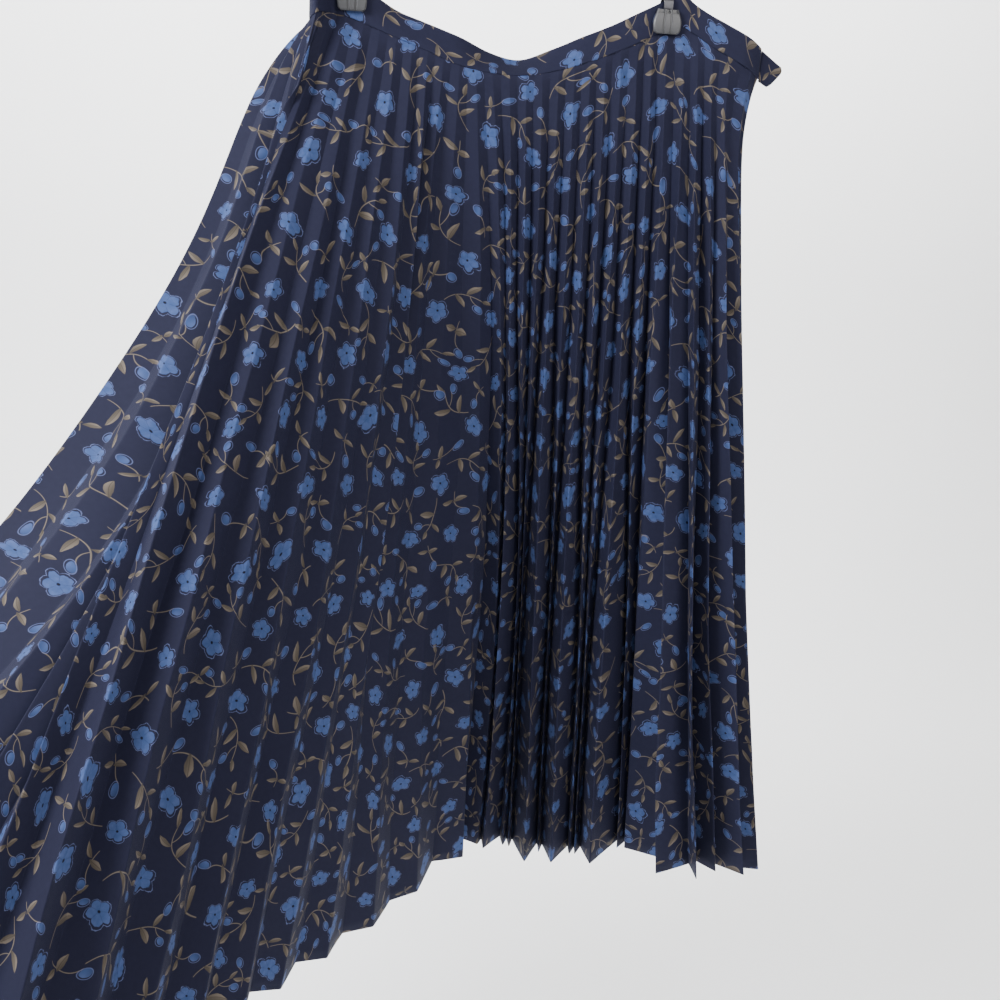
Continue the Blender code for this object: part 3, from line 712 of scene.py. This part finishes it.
def printed_cloth(name, settings):
    """Navy crepe with a loose all-over print of flowers, buds, leaves and stems."""
    draw = Drawing(name)
    source = draw.tree.nodes.new("ShaderNodeUVMap")
    source.uv_map = "flat_cut"
    size = 1000.0 / settings.print_scale
    flat = draw.vector("MULTIPLY", source.outputs[0], (size, size, 0.0))
    streaks = draw.noise(flat, 0.20, 2.0)
    wobble = draw.math("SUBTRACT", streaks, 0.5)
    drift = draw.vector("SUBTRACT", draw.noise(flat, 0.022, 0.0, output="Color"), (0.5, 0.5, 0.5))
    place = draw.turn(draw.vector("MULTIPLY_ADD", drift, (22.0, 22.0, 0.0), flat), math.radians(17.0))
    ground = tuple(settings.ground)
    petal = tuple(settings.petal)
    leaf = tuple(settings.leaf)
    inks = {
        "stem": shaded(leaf, 0.70),
        "stem_light": shaded(leaf, 1.10),
        "leaf": shaded(leaf, 1.15),
        "leaf_shade": shaded(leaf, 0.62),
        "leaf_dark": shaded(leaf, 0.30),
        "outline": (petal[0] * 2.6, petal[1] * 1.8, petal[2] * 1.45),
        "petal": petal,
        "petal_light": (petal[0] * 1.6, petal[1] * 1.35, petal[2] * 1.25),
        "petal_dark": shaded(petal, 0.45),
        "eye": shaded(ground, 0.5),
    }
    colour = draw.mix(streaks, shaded(ground, 0.88), shaded(ground, 1.12))
    cell = settings.repeat
    long_place = lattice(draw, place, cell, (-0.5, -0.375), 6.0, 1.0)
    colour = draw_sprig(draw, colour, long_place, LONG_SPRIG, inks, wobble)
    short_place = lattice(draw, place, cell, (-0.5, 0.375), 6.0, 2.0)
    colour = draw_sprig(draw, colour, short_place, SHORT_SPRIG, inks, wobble)
    flower_place = lattice(draw, place, cell, (0.0, 0.0), 7.0, 3.0)
    colour = draw_flower(draw, colour, flower_place, inks, wobble, streaks)
    draw.put(draw.shader.inputs["Base Color"], colour)
    draw.shader.inputs["Roughness"].default_value = 0.75
    draw.shader.inputs["Specular IOR Level"].default_value = 0.10
    draw.shader.inputs["Sheen Weight"].default_value = 0.02
    draw.shader.inputs["Sheen Roughness"].default_value = 0.45
    draw.shader.inputs["Sheen Tint"].default_value = (0.55, 0.58, 0.85, 1.0)
    across, up = draw.split(flat)
    weft = draw.math("SINE", draw.math("MULTIPLY", across, 2 * math.pi / THREAD))
    warp = draw.math("SINE", draw.math("MULTIPLY", up, 2 * math.pi / THREAD))
    grain = draw.noise(flat, 1.1, 1.0)
    weave = draw.math("MULTIPLY_ADD", draw.math("MULTIPLY", weft, warp), 0.25, grain)
    draw.bump(weave, 0.35, 0.0002)
    return draw.material


def brushed(name, colour, roughness, metallic, scale, bump):
    """Moulded plastic or steel with a fine uneven surface and worn, slightly varied tone."""
    draw = Drawing(name)
    spot = draw.tree.nodes.new("ShaderNodeTexCoord").outputs["Object"]
    cloud = draw.noise(spot, 60.0, 3.0)
    base = draw.mix(cloud, tuple(c * 0.85 for c in colour), tuple(min(1.0, c * 1.15) for c in colour))
    draw.put(draw.shader.inputs["Base Color"], base)
    fine = draw.noise(spot, scale, 2.0)
    draw.put(draw.shader.inputs["Roughness"], draw.math("MULTIPLY_ADD", fine, 0.16, roughness - 0.08))
    draw.shader.inputs["Metallic"].default_value = metallic
    draw.bump(fine, bump, 0.0003)
    return draw.material


# --- settings ----------------------------------------------------------------------------------------------


class SkirtClothSettings(bpy.types.PropertyGroup):
    """Sizes and colours of the printed cloth."""

    wall: bpy.props.FloatProperty(
        name="Cloth wall", description="Thickness of the pleated crepe", default=0.0008, min=0.0003, max=0.002,
        subtype="DISTANCE", unit="LENGTH", precision=4,
    )
    rings: bpy.props.IntProperty(
        name="Rings", description="Rows of faces down the cloth", default=84, min=20, max=120,
    )
    print_scale: bpy.props.FloatProperty(
        name="Print size", description="Size of the flower print, 1 for a 20 mm flower", default=1.0, min=0.5, max=2.0,
    )
    repeat: bpy.props.FloatProperty(
        name="Print repeat", description="Millimetres from flower to flower, before the print size", default=60.0,
        min=45.0, max=90.0,
    )
    ground: bpy.props.FloatVectorProperty(
        name="Ground", description="Navy ground of the print", default=(0.0138, 0.0146, 0.0325), subtype="COLOR",
        min=0.0, max=1.0,
    )
    petal: bpy.props.FloatVectorProperty(
        name="Petals", description="Blue of the flowers", default=(0.040, 0.070, 0.176), subtype="COLOR",
        min=0.0, max=1.0,
    )
    leaf: bpy.props.FloatVectorProperty(
        name="Leaves", description="Tan of the leaves", default=(0.148, 0.122, 0.098), subtype="COLOR",
        min=0.0, max=1.0,
    )


class SkirtHangerSettings(bpy.types.PropertyGroup):
    """Colours of the clips and the hanger's steel."""

    clip: bpy.props.FloatVectorProperty(
        name="Clips", description="Grey plastic of the jaws", default=(0.055, 0.055, 0.058), subtype="COLOR",
        min=0.0, max=1.0,
    )
    steel: bpy.props.FloatVectorProperty(
        name="Steel", description="Bar and hook", default=(0.60, 0.60, 0.62), subtype="COLOR", min=0.0, max=1.0,
    )
    strap: bpy.props.FloatVectorProperty(
        name="Springs", description="Dark steel spring over each clip", default=(0.05, 0.05, 0.055), subtype="COLOR",
        min=0.0, max=1.0,
    )


class SkirtStageSettings(bpy.types.PropertyGroup):
    """The floor, the light and the camera."""

    floor_drop: bpy.props.FloatProperty(
        name="Floor below hook", description="Height of the hook above the floor", default=1.55, min=1.2, max=2.5,
        subtype="DISTANCE", unit="LENGTH",
    )
    lens: bpy.props.FloatProperty(
        name="Lens", description="Camera lens in millimetres", default=38.88, min=20.0, max=90.0,
        subtype="DISTANCE_CAMERA",
    )
    key_power: bpy.props.FloatProperty(
        name="Key light", description="Power of the window light at the left", default=84.0, min=0.0, max=400.0,
        subtype="POWER", unit="POWER",
    )


# --- operators ---------------------------------------------------------------------------------------------


def place_cloth(context, name, first, node, offset):
    """Half of the pleated cloth in the place of its solid, its print starting at offset on the flat cut."""
    settings = context.scene.skirt_cloth
    points, cut = cloth_rows(first, settings.rings)
    made = sheet_mesh(name, points, cut, settings.wall, offset)
    made.data.materials.append(printed_cloth("printed_crepe_finish", settings))
    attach(made, "root")
    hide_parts(node)


class SKIRT_OT_waistband(bpy.types.Operator):
    """Makes the front and back waistband and the underlap"""

    bl_idname = "skirt.waistband"
    bl_label = "Waistband"

    def execute(self, context):
        settings = context.scene.skirt_cloth
        cloth = printed_cloth("printed_crepe_finish", settings)
        for side, first in (("front", 0), ("back", HALF)):
            points, cut = band_rows(first, 9)
            made = sheet_mesh("waistband_cloth_" + side, points, cut, BAND_WALL * SHEET_WALL, (3.0 + first, 0.4))
            made.data.materials.append(cloth)
            rounded = made.modifiers.new("edge", "BEVEL")
            rounded.width = 0.0005
            rounded.segments = 2
            rounded.limit_method = "ANGLE"
            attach(made, "root")
            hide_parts("waistband_" + side)
        dress_tab(cloth)
        return {"FINISHED"}


def dress_tab(cloth):
    """The underlap: a bowed sheet in the place of its solid."""
    low, high = (Vector(corner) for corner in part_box("waistband_tab"))
    corners = {
        "low_in": Vector((low.x + 0.0002, 0.0004, -0.0366 - DROP)),
        "low_out": Vector((low.x + 0.0122, 0.0020, -0.0425 - DROP)),
        "high_in": Vector((low.x + 0.0003, 0.0004, -0.0080 - DROP)),
        "high_out": Vector((high.x - 0.0006, 0.0030, -0.0255 - DROP)),
    }
    rows = []
    cut = []
    for up in np.linspace(1.0, 0.0, 11):
        start = corners["low_in"].lerp(corners["high_in"], up)
        end = corners["low_out"].lerp(corners["high_out"], up)
        row = []
        reach = TAB_REACH - TAB_ROUNDING * abs(2.0 * up - 1.0) ** 5
        for run in np.linspace(0.0, 1.0, 9):
            spot = start.lerp(end, run * reach)
            spot.y += 0.0007 * math.sin(math.pi * run) + 0.0006 * math.sin(3.0 * up)
            row.append(spot)
        rows.append(row)
        cut.append([(run * TAB_CUT[0], up * TAB_CUT[1]) for run in np.linspace(0.0, 1.0, 9)])
    made = sheet_mesh("waistband_cloth_tab", np.array(rows), np.array(cut), BAND_WALL * SHEET_WALL, (9.0, 2.0))
    made.data.materials.append(cloth)
    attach(made, "root")
    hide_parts("waistband_tab")


class SKIRT_OT_front(bpy.types.Operator):
    """Makes the front of the pleated cloth"""

    bl_idname = "skirt.front"
    bl_label = "Pleated front"

    def execute(self, context):
        place_cloth(context, "pleated_cloth_front", 0, "skirt_front", (0.0, 0.0))
        return {"FINISHED"}


class SKIRT_OT_back(bpy.types.Operator):
    """Makes the back of the pleated cloth"""

    bl_idname = "skirt.back"
    bl_label = "Pleated back"

    def execute(self, context):
        place_cloth(context, "pleated_cloth_back", HALF, "skirt_back", (5.0, 1.3))
        return {"FINISHED"}


def refined_copy(node_name, name, surface, bevel):
    """A smooth, soft-edged copy of a hard node's shape, which it replaces."""
    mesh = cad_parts[node_name].data.copy()
    shape = bmesh.new()
    shape.from_mesh(mesh)
    bmesh.ops.remove_doubles(shape, verts=shape.verts, dist=1e-6)
    bmesh.ops.dissolve_limit(shape, angle_limit=math.radians(1.0), verts=shape.verts, edges=shape.edges)
    for face in shape.faces:
        face.smooth = True
    for edge in shape.edges:
        if len(edge.link_faces) == 2:
            edge.smooth = edge.calc_face_angle() < math.radians(28)
    shape.to_mesh(mesh)
    shape.free()
    mesh.materials.clear()
    mesh.materials.append(surface)
    made = bpy.data.objects.new(name, mesh)
    bpy.context.scene.collection.objects.link(made)
    if bevel:
        rounded = made.modifiers.new("soft_edges", "BEVEL")
        rounded.width = bevel
        rounded.segments = 2
        rounded.limit_method = "ANGLE"
        rounded.angle_limit = math.radians(30)
        rounded.harden_normals = True
    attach(made, "root")
    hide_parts(node_name)


class SKIRT_OT_hanger(bpy.types.Operator):
    """Finishes the hanger's bar and hook in polished steel"""

    bl_idname = "skirt.hanger"
    bl_label = "Hanger"

    def execute(self, context):
        settings = context.scene.skirt_hanger
        steel = brushed("polished_steel", tuple(settings.steel), 0.24, 1.0, 420.0, 0.04)
        refined_copy("hanger_bar", "steel_bar", steel, 0.0004)
        refined_copy("hanger_hook", "steel_hook", steel, 0.0)
        return {"FINISHED"}


class SKIRT_OT_clips(bpy.types.Operator):
    """Finishes the clips in grey moulded plastic with dark steel springs"""

    bl_idname = "skirt.clips"
    bl_label = "Clips"

    def execute(self, context):
        settings = context.scene.skirt_hanger
        plastic = brushed("grey_moulded_plastic", tuple(settings.clip), 0.42, 0.0, 900.0, 0.08)
        strap = brushed("dark_spring_steel", tuple(settings.strap), 0.35, 1.0, 500.0, 0.05)
        for side in ("left", "right"):
            for face in ("front", "back"):
                node = "clip_" + side + "_" + face
                refined_copy(node, "jaw_" + side + "_" + face, plastic, 0.0003)
            refined_copy("clip_" + side + "_strap", "spring_" + side, strap, 0.0002)
        return {"FINISHED"}


def camera_matrix():
    yaw, pitch, roll = (math.radians(value) for value in (CAMERA_YAW, CAMERA_PITCH, CAMERA_ROLL))
    forward = Vector((math.sin(yaw) * math.cos(pitch), math.cos(yaw) * math.cos(pitch), -math.sin(pitch)))
    level = Vector((math.cos(yaw), -math.sin(yaw), 0.0))
    above = level.cross(forward)
    right = math.cos(roll) * level - math.sin(roll) * above
    up = math.sin(roll) * level + math.cos(roll) * above
    turned = Matrix((right, up, -forward)).transposed().to_4x4()
    return Matrix.Translation(CAMERA_PLACE) @ turned


def area_light(name, place, target, size, power, colour):
    light = bpy.data.lights.new(name, "AREA")
    light.shape = "RECTANGLE"
    light.size = size[0]
    light.size_y = size[1]
    light.energy = power
    light.color = colour
    made = bpy.data.objects.new(name, light)
    made.location = place
    made.rotation_euler = (Vector(target) - Vector(place)).to_track_quat("-Z", "Y").to_euler()
    bpy.context.scene.collection.objects.link(made)


class SKIRT_OT_stage(bpy.types.Operator):
    """Makes the pale floor, the soft light and the camera"""

    bl_idname = "skirt.stage"
    bl_label = "Studio"

    def execute(self, context):
        settings = context.scene.skirt_stage
        camera_data = bpy.data.cameras.new("camera")
        camera_data.lens = settings.lens
        camera_data.sensor_width = 36.0
        camera = bpy.data.objects.new("camera", camera_data)
        camera.matrix_world = camera_matrix()
        context.scene.collection.objects.link(camera)
        context.scene.camera = camera
        pale = Drawing("pale_paper")
        spot = pale.tree.nodes.new("ShaderNodeTexCoord").outputs["Object"]
        tone = pale.noise(spot, 3.0, 2.0)
        pale.put(pale.shader.inputs["Base Color"], pale.mix(tone, (0.90, 0.90, 0.90), (0.93, 0.93, 0.93)))
        pale.shader.inputs["Roughness"].default_value = 0.9
        level = -settings.floor_drop
        profile = [(FLOOR_NEAR, level), (BEND_START, level)]
        for step in range(1, BEND_STEPS + 1):
            angle = math.radians(step * 90 / BEND_STEPS)
            rise = BEND_RADIUS - BEND_RADIUS * math.cos(angle)
            profile.append((BEND_START + BEND_RADIUS * math.sin(angle), level + rise))
        profile.append((BEND_START + BEND_RADIUS, level + BACKDROP_HEIGHT))
        mesh = bpy.data.meshes.new("floor")
        points = [(x, y, z) for x in (-FLOOR_HALF, FLOOR_HALF) for y, z in profile]
        count = len(profile)
        mesh.from_pydata(points, [], [(i, i + count, i + count + 1, i + 1) for i in range(count - 1)])
        mesh.shade_smooth()
        floor = bpy.data.objects.new("floor", mesh)
        floor.data.materials.append(pale.material)
        context.scene.collection.objects.link(floor)
        for name, place, target, size, part, colour in LIGHTS:
            area_light(name, place, target, size, settings.key_power * part, colour)
        world = bpy.data.worlds.new("studio")
        world.use_nodes = True
        back = world.node_tree.nodes["Background"]
        back.inputs["Color"].default_value = (0.95, 0.97, 1.0, 1.0)
        back.inputs["Strength"].default_value = 0.48
        context.scene.world = world
        return {"FINISHED"}


class SKIRT_PT_panel(bpy.types.Panel):
    """Lists the skirt's pieces and their settings"""

    bl_idname = "SKIRT_PT_panel"
    bl_label = "Pleated skirt"
    bl_space_type = "VIEW_3D"
    bl_region_type = "UI"
    bl_category = "Skirt"

    def draw(self, context):
        layout = self.layout
        for group in (context.scene.skirt_cloth, context.scene.skirt_hanger, context.scene.skirt_stage):
            box = layout.box()
            for key in group.bl_rna.properties.keys():
                if key not in ("rna_type", "name"):
                    box.prop(group, key)
        for operator in PIECES:
            layout.operator(operator.bl_idname)


PIECES = (
    SKIRT_OT_stage,
    SKIRT_OT_hanger,
    SKIRT_OT_clips,
    SKIRT_OT_waistband,
    SKIRT_OT_front,
    SKIRT_OT_back,
)
SETTINGS = (
    ("skirt_cloth", SkirtClothSettings),
    ("skirt_hanger", SkirtHangerSettings),
    ("skirt_stage", SkirtStageSettings),
)


def register():
    for _, group in SETTINGS:
        bpy.utils.register_class(group)
    for operator in PIECES:
        bpy.utils.register_class(operator)
    bpy.utils.register_class(SKIRT_PT_panel)
    for name, group in SETTINGS:
        setattr(bpy.types.Scene, name, bpy.props.PointerProperty(type=group))


def unregister():
    for name, _ in SETTINGS:
        delattr(bpy.types.Scene, name)
    bpy.utils.unregister_class(SKIRT_PT_panel)
    for operator in reversed(PIECES):
        bpy.utils.unregister_class(operator)
    for _, group in reversed(SETTINGS):
        bpy.utils.unregister_class(group)


def main():
    register()
    bpy.ops.skirt.stage()
    bpy.ops.skirt.hanger()
    bpy.ops.skirt.clips()
    bpy.ops.skirt.waistband()
    bpy.ops.skirt.front()
    bpy.ops.skirt.back()
    bpy.context.view_layer.update()


if __name__ == "__main__":
    main()
